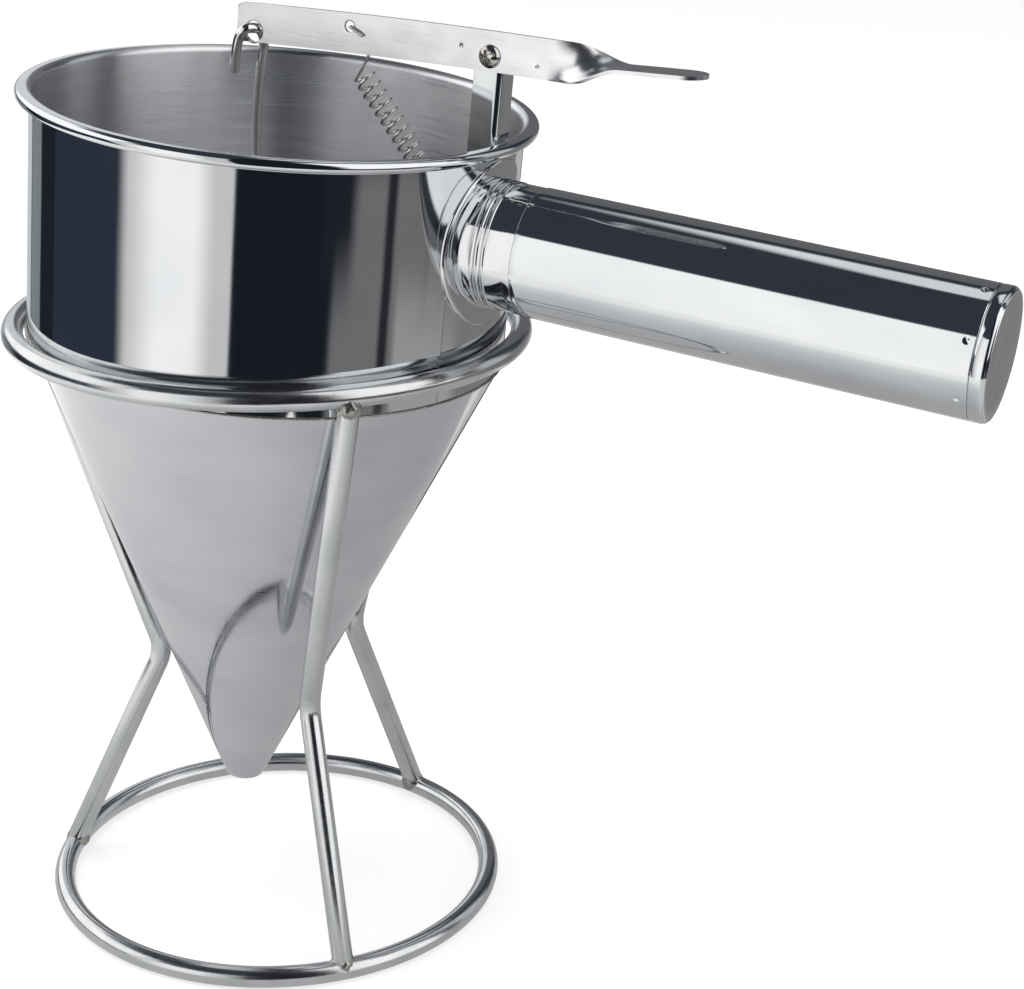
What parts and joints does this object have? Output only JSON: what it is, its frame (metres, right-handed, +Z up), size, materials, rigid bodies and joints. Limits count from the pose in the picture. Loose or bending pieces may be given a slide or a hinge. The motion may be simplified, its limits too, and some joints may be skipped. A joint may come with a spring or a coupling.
{
  "type": "batter dispenser",
  "caption": "Steel batter funnel with a side handle and a sprung lever that lifts a stopper rod, standing in a round wire stand with bent legs.",
  "frame": {"origin": "centre of the base ring, on the table", "axes": "+Z up, +X towards the handle, +Y to the left of the handle seen from the bowl"},
  "size_m": [0.2793, 0.147, 0.2626],
  "materials": {
    "stand_wire": "polished",
    "weld_metal": "ground",
    "mirror_steel": "mirror polished",
    "satin_steel": "satin",
    "cap_steel": "satin",
    "bracket_steel": "polished",
    "lever_steel": "polished",
    "fastener_steel": "bright",
    "bush_brass": "turned",
    "rod_steel": "polished",
    "spring_steel": "bright drawn"
  },
  "bodies": {
    "stand": {"base_ring": "stand_wire", "top_ring": "stand_wire", "leg_front": "stand_wire", "leg_back": "stand_wire", "leg_left": "stand_wire", "leg_welds": "weld_metal"},
    "funnel": {"bowl": "mirror_steel", "cone": "satin_steel", "seam_weld": "weld_metal", "handle_flange": "mirror_steel", "handle_neck": "mirror_steel", "handle_tube": "mirror_steel", "handle_cap": "cap_steel", "bracket": "bracket_steel", "bracket_welds": "weld_metal", "pivot_screw": "fastener_steel", "pivot_bush": "bush_brass", "pivot_washer": "fastener_steel", "pivot_nut": "fastener_steel", "spring": "spring_steel"},
    "lever": {"lever": "lever_steel"},
    "rod": {"stopper_rod": "rod_steel", "stopper_plug": "rod_steel", "plug_nut": "fastener_steel"}
  },
  "joints": [
    {"name": "funnel_lift", "type": "slide", "parent": "stand", "child": "funnel", "axis": [0, 0, 1], "range_m": [0, 0.2]},
    {"name": "lever_pivot", "type": "hinge", "parent": "funnel", "child": "lever", "pos_m": [0.06822, -0.0025, 0.25467], "axis": [0, 1, 0], "range_deg": [0, 18], "stiffness_Nm_per_rad": 0.31, "springref_deg": -18.33, "deforming": ["spring"]},
    {"name": "rod_hang", "type": "hinge", "parent": "lever", "child": "rod", "pos_m": [-0.00166, -0.0025, 0.2552], "axis": [0, 1, 0], "range_deg": [-18, 0]}
  ],
  "couplings": [
    {"joint": "rod_hang", "follows": "lever_pivot", "ratio": -1}
  ]
}
